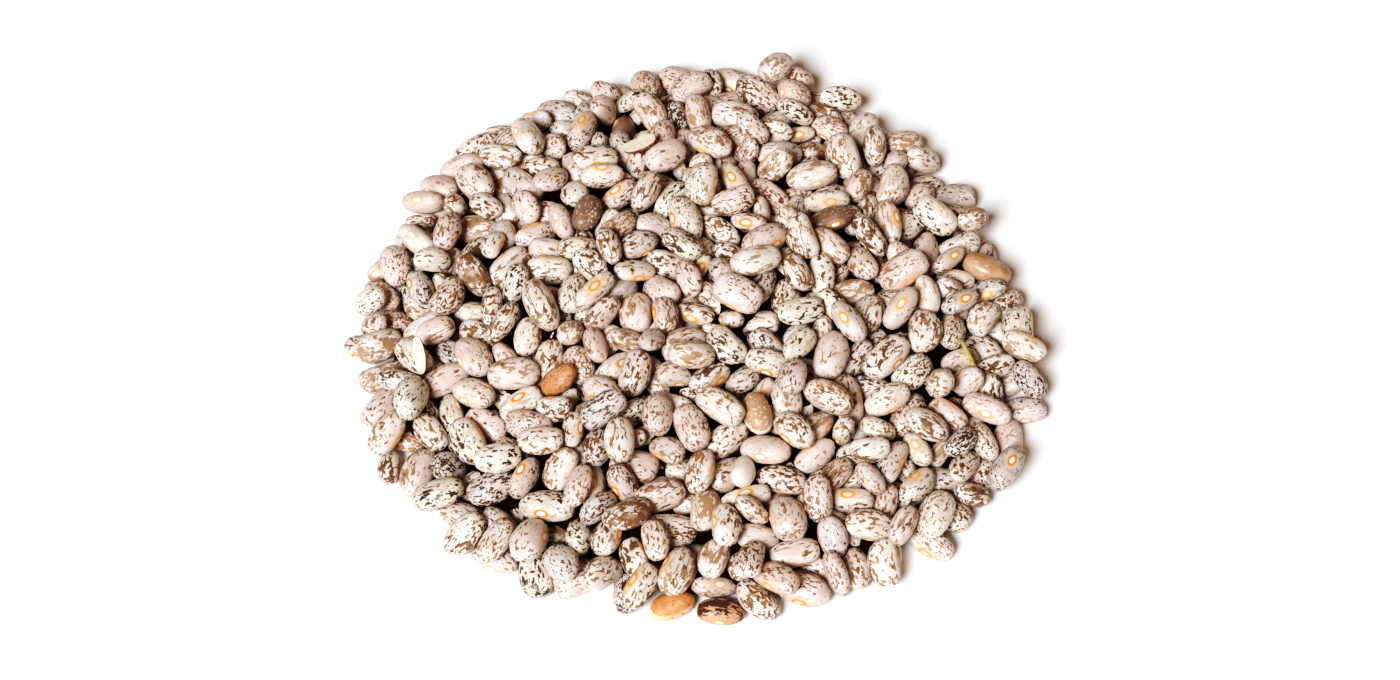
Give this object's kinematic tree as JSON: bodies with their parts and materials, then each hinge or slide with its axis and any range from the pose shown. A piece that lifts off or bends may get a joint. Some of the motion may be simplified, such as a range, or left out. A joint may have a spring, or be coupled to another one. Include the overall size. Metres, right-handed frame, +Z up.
{
  "type": "heap of dried pinto beans",
  "caption": "Low loose heap of mottled dried pinto beans on a flat surface, with an uneven round outline of single beans.",
  "frame": {"origin": "middle of the heap's box, on the surface that it lies on", "axes": "+Z up; the picture looks along +Y and down, with +X to its right"},
  "size_m": [0.2159, 0.2167, 0.0329],
  "materials": {
    "bean_coat": "smooth dry seed coat with a low gloss, cream with brown flecks"
  },
  "bodies": {
    "root": {"bean_heap": "bean_coat"}
  },
  "joints": []
}
